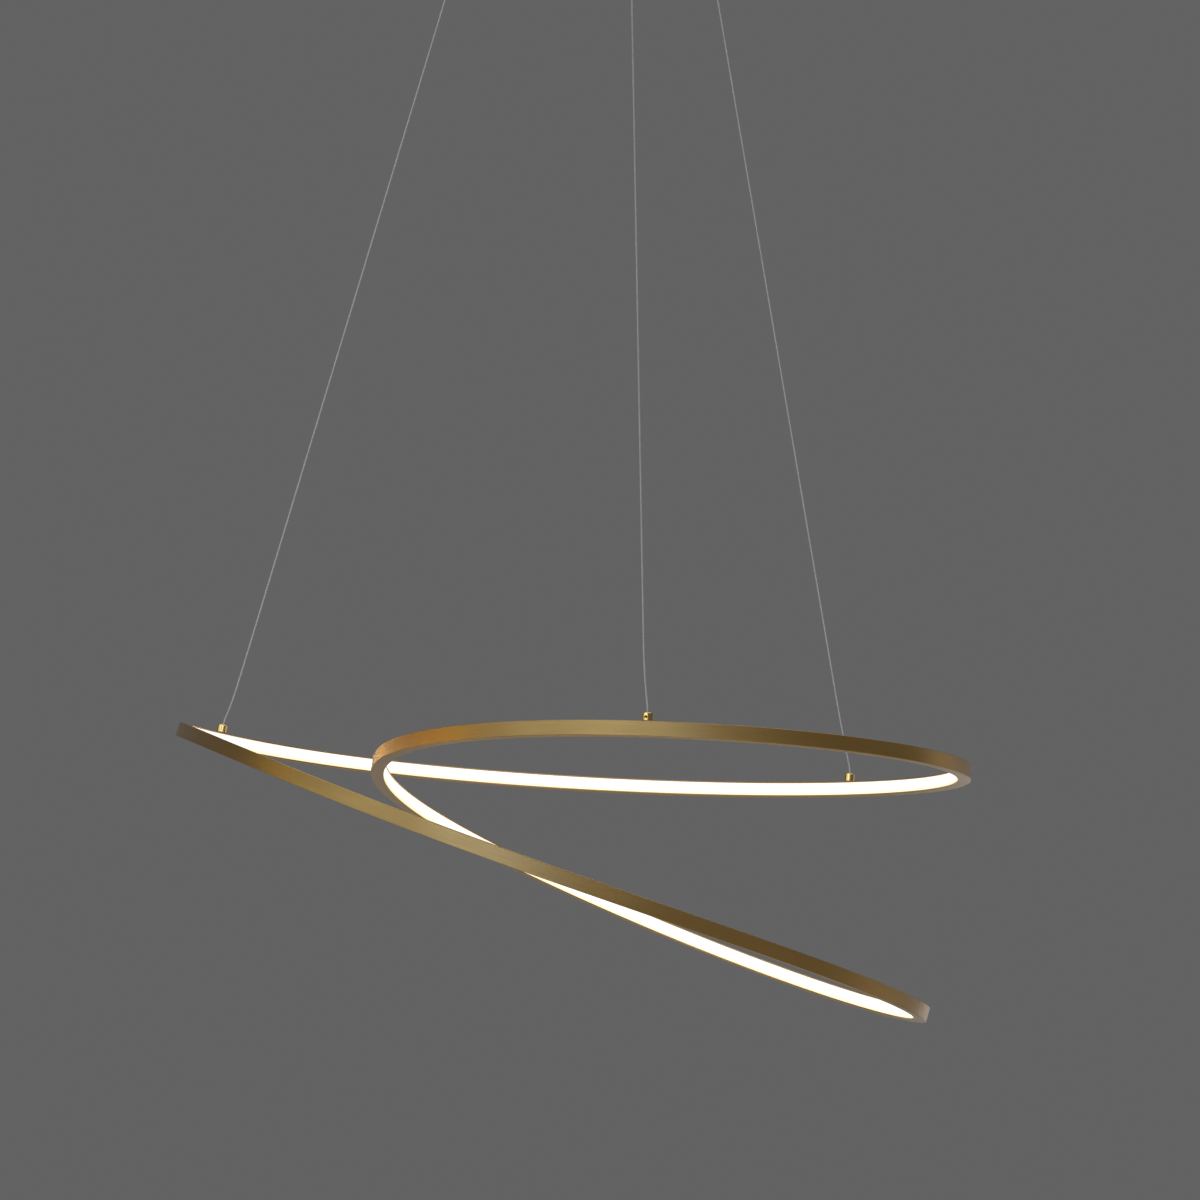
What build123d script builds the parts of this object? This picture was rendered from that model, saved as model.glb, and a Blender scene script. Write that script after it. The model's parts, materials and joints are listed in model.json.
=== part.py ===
from build123d import *
import os
from math import cos, radians, sin, sqrt

# LED pendant light: a lit channel bent into a closed double loop, hung by three wires from a ceiling canopy.
# Millimetres, +Z up, +X to the right, +Y to the back. The origin is on the ceiling, over the canopy's middle.

# Double loop: two turns in plan, written as waves along the two turns
LOOP_RADIUS = 324.0  # each turn is close to a circle of this radius
LOOP_SIDE = -12.0  # middle of the loop, to the left of the canopy
LOOP_SPREAD = 122.5  # the turns lie this far to the left and to the right of that middle
LEFT_ROUNDING = 24.0  # draws in the outer left end
END_SHIFT = 20.0  # leans the ends of the turns
END_FLATTENING = 18.5  # flattens the four ends
HANG_DROP = 1153.5  # ceiling to the mean level of the loop
LOOP_RISE = 106.0  # the upper turn lies above the mean level by this much, the lower turn below it
RIGHT_DROP = 70.0  # both turns fall to the right
LEFT_LIFT = 21.5  # raises the outer left end
RISE_SHIFT = 7.5  # steepens the way down
RISE_EASING = 2.5  # eases the slopes towards the ends
RISE_RIPPLE = 1.5  # five slight waves along the two turns
RIPPLE_LEAD = 37.0  # degrees of a wave by which they start early

# Channel, diffuser and strip
CHANNEL_HEIGHT = 14.5
CHANNEL_DEPTH = 13.0
CHANNEL_WALL = 1.0
DIFFUSER_THICKNESS = 1.6
DIFFUSER_RECESS = 0.3  # below the edge of the channel's mouth
DIFFUSER_LEG = 1.0  # clips reach this far behind the face
DIFFUSER_LEG_WIDTH = 1.2
STRIP_HEIGHT = 8.0
STRIP_THICKNESS = 0.6
LIGHT_LINE_HEIGHT = 3.0
LIGHT_LINE_THICKNESS = 0.8
SLIDE_GAP = 0.1  # between the channel and what is pushed into it
SPLICE_TURN = 2.0  # degrees of the route that a splice reaches to each side of a seam
SPLICE_WIDTH = 4.5
SPLICE_THICKNESS = 2.2
QUARTER = 90.0
QUARTER_STATIONS = 24  # sections along a quarter of the route
SPLICE_STATIONS = 3

# Ceiling canopy
CANOPY_DIAMETER = 220.0
CANOPY_HEIGHT = 30.0
CANOPY_WALL = 1.5
CANOPY_EDGE = 5.0
CEILING_GAP = 0.5  # the rim stays this far below the ceiling
BRACKET_WIDTH = 30.0
BRACKET_THICKNESS = 2.0
BRACKET_TAB = 20.0
BRACKET_BEND = 2.5
BRACKET_GAP = 0.2  # between a tab and the cover
CABLE_HOLE = 14.0
SLOT_SPACING = 120.0
SLOT_LENGTH = 24.0
SLOT_WIDTH = 5.5
WING_MARGIN = 2.0  # past the driver's ears
WING_REACH = 68.0
WING_CORNER = 4.0
SIDE_SCREW = 4.0
SIDE_SCREW_DROP = 11.0
SIDE_SCREW_HEAD = 8.0
SIDE_SCREW_HEAD_HEIGHT = 3.0
SIDE_SCREW_LENGTH = 8.0

# Driver, terminals and cable clamp
DRIVER_LENGTH = 110.0
DRIVER_WIDTH = 38.0
DRIVER_HEIGHT = 20.0
DRIVER_MIDDLE = 46.0
DRIVER_CORNER = 2.5
DRIVER_EAR = 10.0
DRIVER_EAR_WIDTH = 14.0
DRIVER_EAR_THICKNESS = 3.0
DRIVER_SCREW = 3.5
SCREW_HEAD = 6.0
SCREW_HEAD_HEIGHT = 2.0
SCREW_GAP = 0.2  # radial room round a screw
DRIVE_WIDTH = 1.0  # slot across a screw's head
DRIVE_DEPTH = 0.8
TERMINAL_LENGTH = 24.0
TERMINAL_WIDTH = 15.0
TERMINAL_HEIGHT = 12.0
TERMINAL_MIDDLE = 28.0
TERMINAL_POLES = 3
TERMINAL_WELL = 4.0
TERMINAL_WELL_DEPTH = 6.0
TERMINAL_BORE = 3.2
CLAMP_MIDDLE = -28.0
CLAMP_WIDTH = 8.0
CLAMP_THICKNESS = 1.5
CLAMP_ARCH = 4.5
CLAMP_FOOT = 7.0
CLAMP_SCREW = 3.0

# Suspension wires and their grippers under the canopy
WIRE_DIAMETER = 2.0
WIRE_GAP = 0.4  # radial room round a wire
EXIT_INSET = 17.0  # from the canopy's edge to the middle of a gripper
EXIT_ANGLES = {"left": 156.0, "front": -73.0, "right": 31.0}
GRIPPER_DIAMETER = 10.0
GRIPPER_LENGTH = 18.0
GRIPPER_EDGE = 0.6
GRIPPER_LIP = 2.0
CHAMBER_DIAMETER = 7.2
CHAMBER_LENGTH = 14.0
WEDGE_LENGTH = 6.0  # the foot of the chamber narrows to the plunger over this length
STEM_DIAMETER = 8.0
STEM_LENGTH = 10.0
STEM_GAP = 0.1
NUT_WIDTH = 12.0
NUT_HEIGHT = 3.0
PLUNGER_DIAMETER = 5.0
PLUNGER_STICK_OUT = 5.0
PLUNGER_COLLAR = 1.5
PLUNGER_GAP = 0.1
PLUNGER_EDGE = 0.4
BALL_DIAMETER = 2.0
BALL_COUNT = 3
BALL_GAP = 0.2  # from a ball to the wire and to the wedge
BALL_HOLE_GAP = 0.1  # radial room of a ball in the plunger
SPRING_WALL = 0.6
SPRING_GAP = 0.1
WIRE_TAIL = 2.0  # above the stem
WIRE_NOSE = 8.0  # straight below the plunger

# Brass wire fittings on top of the channel
FITTING_TURNS = {"left": 17.6, "front": 136.2, "right": 76.0}  # degrees along the route
FITTING_DIAMETER = 10.0
FITTING_HEIGHT = 8.0
FITTING_EDGE = 0.6
FITTING_BORE_DEPTH = 6.5
FITTING_STEM = 4.0
FITTING_STEM_LENGTH = 5.5
BUSH_WALL = 0.8
BUSH_FLANGE = 8.6
BUSH_FLANGE_HEIGHT = 0.5
FITTING_NUT = 7.0
FITTING_NUT_HEIGHT = 2.0
SET_SCREW = 3.0
SET_SCREW_DROP = 4.5  # below the top of the fitting
SET_SCREW_SINK = 0.4  # below the side of the fitting
SET_SCREW_SOCKET = 1.5
SET_SCREW_TURN = 20.0  # degrees round the fitting, from straight out of the loop
SEAT_GAP = 0.05  # between flat pieces and the channel's curved walls
WIRE_NECK = 2.5  # straight above the fitting
WIRE_BEND = 20.0  # radius where the taut wire leaves its fitting and its plunger

# Where each wire bends on its way, as offsets from the top of its fitting
KNEE_SHARE = 0.45  # share of the short run that the bend takes
WIRE_KNEES = {"left": (24.5, -10.5, 70.5), "front": (-3.5, 11.0, 48.0), "right": (-11.0, -6.0, 60.0)}

UP = Vector(0, 0, 1)
SIDES = ("left", "front", "right")
SEAMS = {"upper_back": 0.0, "upper_front": QUARTER, "lower_back": 2 * QUARTER, "lower_front": 3 * QUARTER}

os.makedirs("parts", exist_ok=True)


def save(builder, label):
    builder.part.label = label
    export_step(builder.part, f"parts/{label}.step")


def route(turn):
    """Point on the channel's middle line, turn degrees along the two turns from the outer left end."""
    t = radians(turn)
    x = LOOP_SIDE - LOOP_SPREAD * cos(t) - LOOP_RADIUS * cos(2 * t)
    x += LEFT_ROUNDING * cos(3 * t) - END_SHIFT * sin(3 * t) + END_FLATTENING * cos(4 * t)
    y = LOOP_RADIUS * sin(2 * t)
    z = LOOP_RISE * sin(t) + LEFT_LIFT * cos(t) + RIGHT_DROP * cos(2 * t)
    z += RISE_EASING * sin(4 * t) - RISE_SHIFT * sin(3 * t) - HANG_DROP
    z += RISE_RIPPLE * cos(5 * t + radians(RIPPLE_LEAD))
    return Vector(x, y, z)


def across(turn):
    """Plane across the channel: x out of the loop, the way it bends, and y up the channel's height."""
    step = 0.5
    before, here, after = route(turn - step), route(turn), route(turn + step)
    ahead = after - before
    up = ahead.cross(here * 2 - before - after)
    return Plane(origin=here, x_dir=up.cross(ahead), z_dir=ahead)


def channel_profile():
    Rectangle(CHANNEL_DEPTH, CHANNEL_HEIGHT)
    with Locations((-CHANNEL_WALL, 0)):
        Rectangle(CHANNEL_DEPTH, CHANNEL_HEIGHT - 2 * CHANNEL_WALL, mode=Mode.SUBTRACT)


def diffuser_profile():
    """Flat face in the channel's mouth, with a clip leg along its top and its bottom."""
    face = DIFFUSER_RECESS - CHANNEL_DEPTH / 2
    height = CHANNEL_HEIGHT - 2 * CHANNEL_WALL - 2 * SLIDE_GAP
    with Locations((face, 0)):
        Rectangle(DIFFUSER_THICKNESS + DIFFUSER_LEG, height, align=(Align.MIN, Align.CENTER))
    with Locations((face + DIFFUSER_THICKNESS, 0)):
        between = height - 2 * DIFFUSER_LEG_WIDTH
        Rectangle(CHANNEL_DEPTH, between, align=(Align.MIN, Align.CENTER), mode=Mode.SUBTRACT)


def strip_profile():
    """Flat strip on the channel's outer wall, with the raised line that gives the light."""
    back = CHANNEL_DEPTH / 2 - CHANNEL_WALL - SLIDE_GAP
    with Locations((back, 0)):
        Rectangle(STRIP_THICKNESS, STRIP_HEIGHT, align=(Align.MAX, Align.CENTER))
        line_front = STRIP_THICKNESS + LIGHT_LINE_THICKNESS
        Rectangle(line_front, LIGHT_LINE_HEIGHT, align=(Align.MAX, Align.CENTER))


def splice_profile():
    with Locations((0, CHANNEL_HEIGHT / 2 - CHANNEL_WALL - SLIDE_GAP)):
        Rectangle(SPLICE_WIDTH, SPLICE_THICKNESS, align=(Align.CENTER, Align.MAX))


def sections(profile, start, end, stations):
    """Faces of a profile across the route, from start to end degrees along it."""
    faces = []
    for station in range(stations + 1):
        with BuildSketch(across(start + (end - start) * station / stations)) as section:
            profile()
        faces.append(section.sketch.face())
    return faces


def fitting_plane(side):
    """Plane on the channel's top face under a fitting: z out of the face, y out of the loop."""
    place = across(FITTING_TURNS[side])
    top = place.origin + place.y_dir * (CHANNEL_HEIGHT / 2 + SEAT_GAP)
    return Plane(origin=top, x_dir=place.z_dir, z_dir=place.y_dir)


def exit_point(side, height):
    angle = radians(EXIT_ANGLES[side])
    return Vector(exit_radius * cos(angle), exit_radius * sin(angle), height)


# Levels in the canopy and along a gripper
floor_under = -CANOPY_HEIGHT
floor_top = floor_under + CANOPY_WALL
bracket_under = -BRACKET_THICKNESS
body_bottom = floor_under - GRIPPER_LENGTH
stem_top = floor_under + STEM_LENGTH
chamber_bottom = body_bottom + GRIPPER_LIP
chamber_top = chamber_bottom + CHAMBER_LENGTH
wedge_top = chamber_bottom + WEDGE_LENGTH
plunger_bottom = body_bottom - PLUNGER_STICK_OUT

# Radii in the canopy and across a gripper
canopy_radius = CANOPY_DIAMETER / 2
cover_inside = canopy_radius - CANOPY_WALL
tab_face = sqrt(cover_inside**2 - (BRACKET_WIDTH / 2) ** 2) - BRACKET_GAP
exit_radius = canopy_radius - EXIT_INSET
wire_bore = WIRE_DIAMETER / 2 + WIRE_GAP
mouth = PLUNGER_DIAMETER / 2 + PLUNGER_GAP
chamber = CHAMBER_DIAMETER / 2

# The balls lie between the wire and the wedge, and the plunger's collar lies above both
wedge_slope = (chamber - mouth) / WEDGE_LENGTH
ball_reach = WIRE_DIAMETER / 2 + BALL_GAP + BALL_DIAMETER / 2
ball_room = (BALL_DIAMETER / 2 + BALL_GAP) * sqrt(1 + wedge_slope**2)
ball_level = chamber_bottom + (ball_reach + ball_room - mouth) / wedge_slope
collar_bottom = max(wedge_top, ball_level + BALL_DIAMETER / 2) + PLUNGER_GAP
collar_top = collar_bottom + PLUNGER_COLLAR

# Ceiling bracket: a bent strip with a wing that carries the driver
driver_ends = DRIVER_LENGTH / 2 + DRIVER_EAR / 2
wing_length = DRIVER_LENGTH + 2 * DRIVER_EAR + 2 * WING_MARGIN
clamp_reach = CLAMP_ARCH + CLAMP_THICKNESS + CLAMP_FOOT
clamp_feet = [(CLAMP_MIDDLE, end * (clamp_reach - CLAMP_FOOT / 2)) for end in (-1, 1)]
driver_screw_places = [(end * driver_ends, DRIVER_MIDDLE) for end in (-1, 1)]
with BuildPart() as ceiling_bracket:
    with BuildSketch(Plane.XZ) as strip_side:
        with BuildLine():
            corners = [(-tab_face, -BRACKET_TAB), (-tab_face, 0), (tab_face, 0), (tab_face, -BRACKET_TAB)]
            FilletPolyline(*corners, radius=BRACKET_BEND + BRACKET_THICKNESS)
            offset(amount=BRACKET_THICKNESS, side=Side.RIGHT)
        make_face()
    extrude(amount=BRACKET_WIDTH / 2, both=True)
    with BuildSketch():
        with Locations((0, WING_REACH / 2)):
            RectangleRounded(wing_length, WING_REACH, WING_CORNER)
    extrude(amount=-BRACKET_THICKNESS)
    with BuildSketch():
        Circle(CABLE_HOLE / 2)
        with GridLocations(SLOT_SPACING, 0, 2, 1):
            SlotOverall(SLOT_LENGTH, SLOT_WIDTH)
        with Locations(*driver_screw_places):
            Circle(DRIVER_SCREW / 2 + SCREW_GAP)
        with Locations(*clamp_feet):
            Circle(CLAMP_SCREW / 2 + SCREW_GAP)
    extrude(amount=-BRACKET_THICKNESS, mode=Mode.SUBTRACT)
    with BuildSketch(Plane.YZ):
        with Locations((0, -SIDE_SCREW_DROP)):
            Circle(SIDE_SCREW / 2 + SCREW_GAP)
    extrude(amount=canopy_radius, both=True, mode=Mode.SUBTRACT)
save(ceiling_bracket, "ceiling_bracket")

# Canopy cover: a drawn cup with three gripper holes and two side screw holes
with BuildPart() as canopy_cover:
    with BuildSketch(Plane.XY.offset(floor_under)):
        Circle(canopy_radius)
    extrude(amount=CANOPY_HEIGHT - CEILING_GAP)
    fillet(canopy_cover.faces().sort_by(Axis.Z)[0].edges(), radius=CANOPY_EDGE)
    offset(amount=-CANOPY_WALL, openings=canopy_cover.faces().sort_by(Axis.Z)[-1])
    with BuildSketch(Plane.XY.offset(floor_under)):
        with Locations(*[exit_point(side, 0) for side in SIDES]):
            Circle(STEM_DIAMETER / 2 + STEM_GAP)
    extrude(amount=CANOPY_WALL, mode=Mode.SUBTRACT)
    with BuildSketch(Plane.YZ):
        with Locations((0, -SIDE_SCREW_DROP)):
            Circle(SIDE_SCREW / 2 + SCREW_GAP)
    extrude(amount=canopy_radius, both=True, mode=Mode.SUBTRACT)
save(canopy_cover, "canopy_cover")

# Two side screws, through the cover's wall into the bracket's tabs
with BuildPart() as canopy_screws:
    for end in (-1, 1):
        with BuildSketch(Plane.YZ.offset(end * canopy_radius)):
            with Locations((0, -SIDE_SCREW_DROP)):
                Circle(SIDE_SCREW_HEAD / 2)
        extrude(amount=end * SIDE_SCREW_HEAD_HEIGHT)
        with BuildSketch(Plane.YZ.offset(end * canopy_radius)):
            with Locations((0, -SIDE_SCREW_DROP)):
                Circle(SIDE_SCREW / 2)
        extrude(amount=-end * SIDE_SCREW_LENGTH)
        with BuildSketch(Plane.YZ.offset(end * (canopy_radius + SIDE_SCREW_HEAD_HEIGHT))):
            with Locations((0, -SIDE_SCREW_DROP)):
                Rectangle(SIDE_SCREW_HEAD, DRIVE_WIDTH)
        extrude(amount=-end * DRIVE_DEPTH, mode=Mode.SUBTRACT)
save(canopy_screws, "canopy_screws")

# LED driver: a moulded case with an ear at each end, under the bracket's wing
with BuildPart() as led_driver:
    with BuildSketch(Plane.XY.offset(bracket_under)):
        with Locations((0, DRIVER_MIDDLE)):
            RectangleRounded(DRIVER_LENGTH, DRIVER_WIDTH, DRIVER_CORNER)
    extrude(amount=-DRIVER_HEIGHT)
    fillet(led_driver.faces().sort_by(Axis.Z)[0].edges(), radius=DRIVER_CORNER / 2)
    with BuildSketch(Plane.XY.offset(bracket_under)):
        with Locations((0, DRIVER_MIDDLE)):
            RectangleRounded(DRIVER_LENGTH + 2 * DRIVER_EAR, DRIVER_EAR_WIDTH, DRIVER_CORNER)
    extrude(amount=-DRIVER_EAR_THICKNESS)
    with BuildSketch(Plane.XY.offset(bracket_under)):
        with Locations(*driver_screw_places):
            Circle(DRIVER_SCREW / 2 + SCREW_GAP)
    extrude(amount=-DRIVER_EAR_THICKNESS, mode=Mode.SUBTRACT)
save(led_driver, "led_driver")


def hanging_screws(label, places, seat, shank):
    """Screws whose heads sit under the level seat, with shanks up to the top of the bracket."""
    with BuildPart() as screws:
        with BuildSketch(Plane.XY.offset(seat)):
            with Locations(*places):
                Circle(SCREW_HEAD / 2)
        extrude(amount=-SCREW_HEAD_HEIGHT)
        with BuildSketch(Plane.XY.offset(seat)):
            with Locations(*places):
                Circle(shank / 2)
        extrude(amount=-seat)
        with BuildSketch(Plane.XY.offset(seat - SCREW_HEAD_HEIGHT)):
            with Locations(*places):
                Rectangle(SCREW_HEAD, DRIVE_WIDTH)
        extrude(amount=DRIVE_DEPTH, mode=Mode.SUBTRACT)
    save(screws, label)


hanging_screws("driver_screws", driver_screw_places, bracket_under - DRIVER_EAR_THICKNESS, DRIVER_SCREW)

# Mains terminal block: a wire bore along each pole, with a screw well into it from below
pole_pitch = TERMINAL_LENGTH / TERMINAL_POLES
with BuildPart() as terminal_block:
    with BuildSketch(Plane.XY.offset(bracket_under)):
        with Locations((TERMINAL_MIDDLE, 0)):
            Rectangle(TERMINAL_LENGTH, TERMINAL_WIDTH)
    extrude(amount=-TERMINAL_HEIGHT)
    with BuildSketch(Plane.XY.offset(bracket_under - TERMINAL_HEIGHT)):
        with Locations((TERMINAL_MIDDLE, 0)):
            with GridLocations(pole_pitch, 0, TERMINAL_POLES, 1):
                Circle(TERMINAL_WELL / 2)
    extrude(amount=TERMINAL_WELL_DEPTH, mode=Mode.SUBTRACT)
    with BuildSketch(Plane.XZ):
        with Locations((TERMINAL_MIDDLE, bracket_under - TERMINAL_HEIGHT / 2)):
            with GridLocations(pole_pitch, 0, TERMINAL_POLES, 1):
                Circle(TERMINAL_BORE / 2)
    extrude(amount=TERMINAL_WIDTH / 2, both=True, mode=Mode.SUBTRACT)
save(terminal_block, "terminal_block")

# Saddle clamp that holds the mains cable under the bracket
with BuildPart() as cable_clamp:
    with BuildSketch(Plane.YZ.offset(CLAMP_MIDDLE - CLAMP_WIDTH / 2)):
        with Locations((0, bracket_under)):
            Circle(CLAMP_ARCH + CLAMP_THICKNESS)
            Rectangle(2 * clamp_reach, 2 * CLAMP_THICKNESS)
            Circle(CLAMP_ARCH, mode=Mode.SUBTRACT)
            Rectangle(2 * clamp_reach, clamp_reach, align=(Align.CENTER, Align.MIN), mode=Mode.SUBTRACT)
    extrude(amount=CLAMP_WIDTH)
    with BuildSketch(Plane.XY.offset(bracket_under)):
        with Locations(*clamp_feet):
            Circle(CLAMP_SCREW / 2 + SCREW_GAP)
    extrude(amount=-CLAMP_THICKNESS, mode=Mode.SUBTRACT)
save(cable_clamp, "cable_clamp")

hanging_screws("clamp_screws", clamp_feet, bracket_under - CLAMP_THICKNESS, CLAMP_SCREW)

for side in SIDES:
    exit_top = exit_point(side, 0)
    gripper_axis = Plane(origin=exit_top, x_dir=(1, 0, 0), z_dir=(0, -1, 0))

    # Gripper body: a turned brass barrel whose threaded stem goes up through the canopy's floor
    with BuildPart() as gripper_body:
        with BuildSketch(Plane.XY.offset(body_bottom)):
            with Locations(exit_top):
                Circle(GRIPPER_DIAMETER / 2)
        extrude(amount=GRIPPER_LENGTH)
        chamfer(gripper_body.edges().filter_by(GeomType.CIRCLE), length=GRIPPER_EDGE)
        with BuildSketch(Plane.XY.offset(floor_under)):
            with Locations(exit_top):
                Circle(STEM_DIAMETER / 2)
        extrude(amount=STEM_LENGTH)
        with BuildSketch(gripper_axis):
            with BuildLine():
                lower = [(0, body_bottom), (mouth, body_bottom), (mouth, chamber_bottom)]
                middle = [(chamber, wedge_top), (chamber, chamber_top), (wire_bore, chamber_top)]
                upper = [(wire_bore, stem_top), (0, stem_top)]
                Polyline(*lower, *middle, *upper, close=True)
            make_face()
        revolve(axis=Axis(exit_top, UP), mode=Mode.SUBTRACT)
    save(gripper_body, f"gripper_body_{side}")

    # Lock nut inside the canopy
    with BuildPart() as gripper_nut:
        with BuildSketch(Plane.XY.offset(floor_top)):
            with Locations(exit_top):
                RegularPolygon(NUT_WIDTH / 2, 6, major_radius=False)
                Circle(STEM_DIAMETER / 2 + STEM_GAP, mode=Mode.SUBTRACT)
        extrude(amount=NUT_HEIGHT)
    save(gripper_nut, f"gripper_nut_{side}")

    # Release plunger: a collared tube that the spring holds down, with a hole for each wedge ball
    ball_planes = []
    for ball in range(BALL_COUNT):
        angle = radians(ball * 360 / BALL_COUNT)
        ball_planes.append(Plane(origin=exit_point(side, ball_level), z_dir=(cos(angle), sin(angle), 0)))
    with BuildPart() as gripper_plunger:
        with BuildSketch(Plane.XY.offset(plunger_bottom)):
            with Locations(exit_top):
                Circle(PLUNGER_DIAMETER / 2)
        extrude(amount=collar_top - plunger_bottom)
        chamfer(gripper_plunger.edges().group_by(Axis.Z)[0], length=PLUNGER_EDGE)
        with BuildSketch(Plane.XY.offset(collar_bottom)):
            with Locations(exit_top):
                Circle(chamber - PLUNGER_GAP)
        extrude(amount=PLUNGER_COLLAR)
        with BuildSketch(Plane.XY.offset(plunger_bottom)):
            with Locations(exit_top):
                Circle(wire_bore)
        extrude(amount=collar_top - plunger_bottom, mode=Mode.SUBTRACT)
        for ball_plane in ball_planes:
            with BuildSketch(ball_plane):
                Circle(BALL_DIAMETER / 2 + BALL_HOLE_GAP)
            extrude(amount=PLUNGER_DIAMETER / 2, mode=Mode.SUBTRACT)
    save(gripper_plunger, f"gripper_plunger_{side}")

    # Wedge balls, which the plunger carries and the wedge presses on the wire
    with BuildPart() as wedge_balls:
        with Locations(*[ball_plane.offset(ball_reach) for ball_plane in ball_planes]):
            Sphere(BALL_DIAMETER / 2)
    save(wedge_balls, f"wedge_balls_{side}")

    # Plunger spring, drawn as a sleeve
    with BuildPart() as gripper_spring:
        with BuildSketch(Plane.XY.offset(collar_top + SPRING_GAP)):
            with Locations(exit_top):
                Circle(chamber - SPRING_GAP)
                Circle(chamber - SPRING_GAP - SPRING_WALL, mode=Mode.SUBTRACT)
        extrude(amount=chamber_top - collar_top - 2 * SPRING_GAP)
    save(gripper_spring, f"gripper_spring_{side}")

    # Wire fitting: a brass post on a stem through the channel's top wall, with a bore for the wire
    seat = fitting_plane(side)
    post_seat = seat.offset(BUSH_FLANGE_HEIGHT)
    post_top = post_seat.offset(FITTING_HEIGHT)
    screw_level = post_top.offset(-SET_SCREW_DROP).rotated((0, 0, -SET_SCREW_TURN))
    screw_axis = Plane(origin=screw_level.origin, x_dir=screw_level.x_dir, z_dir=screw_level.y_dir)
    with BuildPart() as wire_fitting:
        with BuildSketch(post_seat):
            Circle(FITTING_DIAMETER / 2)
        extrude(amount=FITTING_HEIGHT)
        chamfer(wire_fitting.edges().filter_by(GeomType.CIRCLE), length=FITTING_EDGE)
        with BuildSketch(post_seat):
            Circle(FITTING_STEM / 2)
        extrude(amount=-FITTING_STEM_LENGTH)
        with BuildSketch(post_top):
            Circle(wire_bore)
        extrude(amount=-FITTING_BORE_DEPTH, mode=Mode.SUBTRACT)
        with BuildSketch(screw_axis):
            Circle(SET_SCREW / 2 + STEM_GAP)
        extrude(amount=FITTING_DIAMETER / 2, mode=Mode.SUBTRACT)
    save(wire_fitting, f"wire_fitting_{side}")

    # Headless screw that holds the wire in the fitting
    with BuildPart() as set_screw:
        with BuildSketch(screw_axis.offset(wire_bore)):
            Circle(SET_SCREW / 2)
        screw_length = FITTING_DIAMETER / 2 - SET_SCREW_SINK - wire_bore
        extrude(amount=screw_length)
        with BuildSketch(screw_axis.offset(wire_bore + screw_length)):
            RegularPolygon(SET_SCREW_SOCKET / 2, 6, major_radius=False)
        extrude(amount=-SET_SCREW_SOCKET, mode=Mode.SUBTRACT)
    save(set_screw, f"set_screw_{side}")

    # Insulating bush between the fitting and the channel
    with BuildPart() as fitting_bush:
        with BuildSketch(seat):
            Circle(BUSH_FLANGE / 2)
        extrude(amount=BUSH_FLANGE_HEIGHT)
        with BuildSketch(seat):
            Circle(FITTING_STEM / 2 + STEM_GAP + BUSH_WALL)
        extrude(amount=-CHANNEL_WALL - SEAT_GAP)
        with BuildSketch(seat.offset(BUSH_FLANGE_HEIGHT)):
            Circle(FITTING_STEM / 2 + STEM_GAP)
        extrude(amount=-CHANNEL_WALL - SEAT_GAP - BUSH_FLANGE_HEIGHT, mode=Mode.SUBTRACT)
    save(fitting_bush, f"fitting_bush_{side}")

    # Nut on the fitting's stem, inside the channel
    with BuildPart() as fitting_nut:
        with BuildSketch(seat.offset(-CHANNEL_WALL - 2 * SEAT_GAP)):
            RegularPolygon(FITTING_NUT / 2, 6, major_radius=False)
            Circle(FITTING_STEM / 2 + STEM_GAP, mode=Mode.SUBTRACT)
        extrude(amount=-FITTING_NUT_HEIGHT)
    save(fitting_nut, f"fitting_nut_{side}")

    # Suspension wire, taut from the gripper to the fitting
    wire_end = post_top.origin - seat.z_dir * (FITTING_BORE_DEPTH - STEM_GAP)
    neck = post_top.origin + seat.z_dir * WIRE_NECK
    knee = post_top.origin + Vector(*WIRE_KNEES[side])
    nose = exit_point(side, plunger_bottom - WIRE_NOSE)
    tail = exit_point(side, stem_top + WIRE_TAIL)
    half_turn = radians((knee - neck).get_angle(nose - knee) / 2)
    knee_bend = KNEE_SHARE * (knee - neck).length * cos(half_turn) / sin(half_turn)
    wire_radii = [WIRE_BEND, knee_bend, WIRE_BEND]
    with BuildPart() as suspension_wire:
        with BuildLine() as wire_line:
            FilletPolyline(wire_end, neck, knee, nose, tail, radius=wire_radii)
        with BuildSketch(Plane(origin=wire_end, z_dir=seat.z_dir)):
            Circle(WIRE_DIAMETER / 2)
        sweep(path=wire_line.wire())
    save(suspension_wire, f"suspension_wire_{side}")
    print(side, "wire length", round(wire_line.wire().length, 1), "radii", [round(r) for r in wire_radii])

# Channel, diffuser, LED strip and splice of each quarter of the double loop
for quarter, start in SEAMS.items():
    end = start + QUARTER
    with BuildPart() as channel:
        loft(sections(channel_profile, start, end, QUARTER_STATIONS))
        for side in SIDES:
            if start < FITTING_TURNS[side] < end:
                with BuildSketch(fitting_plane(side)):
                    Circle(FITTING_STEM / 2 + 2 * STEM_GAP + BUSH_WALL)
                extrude(amount=-2 * CHANNEL_WALL, mode=Mode.SUBTRACT)
    save(channel, f"channel_{quarter}")

    with BuildPart() as diffuser:
        loft(sections(diffuser_profile, start, end, QUARTER_STATIONS))
    save(diffuser, f"diffuser_{quarter}")

    with BuildPart() as led_strip:
        loft(sections(strip_profile, start, end, QUARTER_STATIONS))
    save(led_strip, f"led_strip_{quarter}")

    with BuildPart() as splice:
        loft(sections(splice_profile, start - SPLICE_TURN, start + SPLICE_TURN, SPLICE_STATIONS))
    save(splice, f"splice_{quarter}")
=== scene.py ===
import json
from math import cos, pi, radians, sin, sqrt

import bpy
import numpy as np
from mathutils import Matrix, Vector


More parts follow.
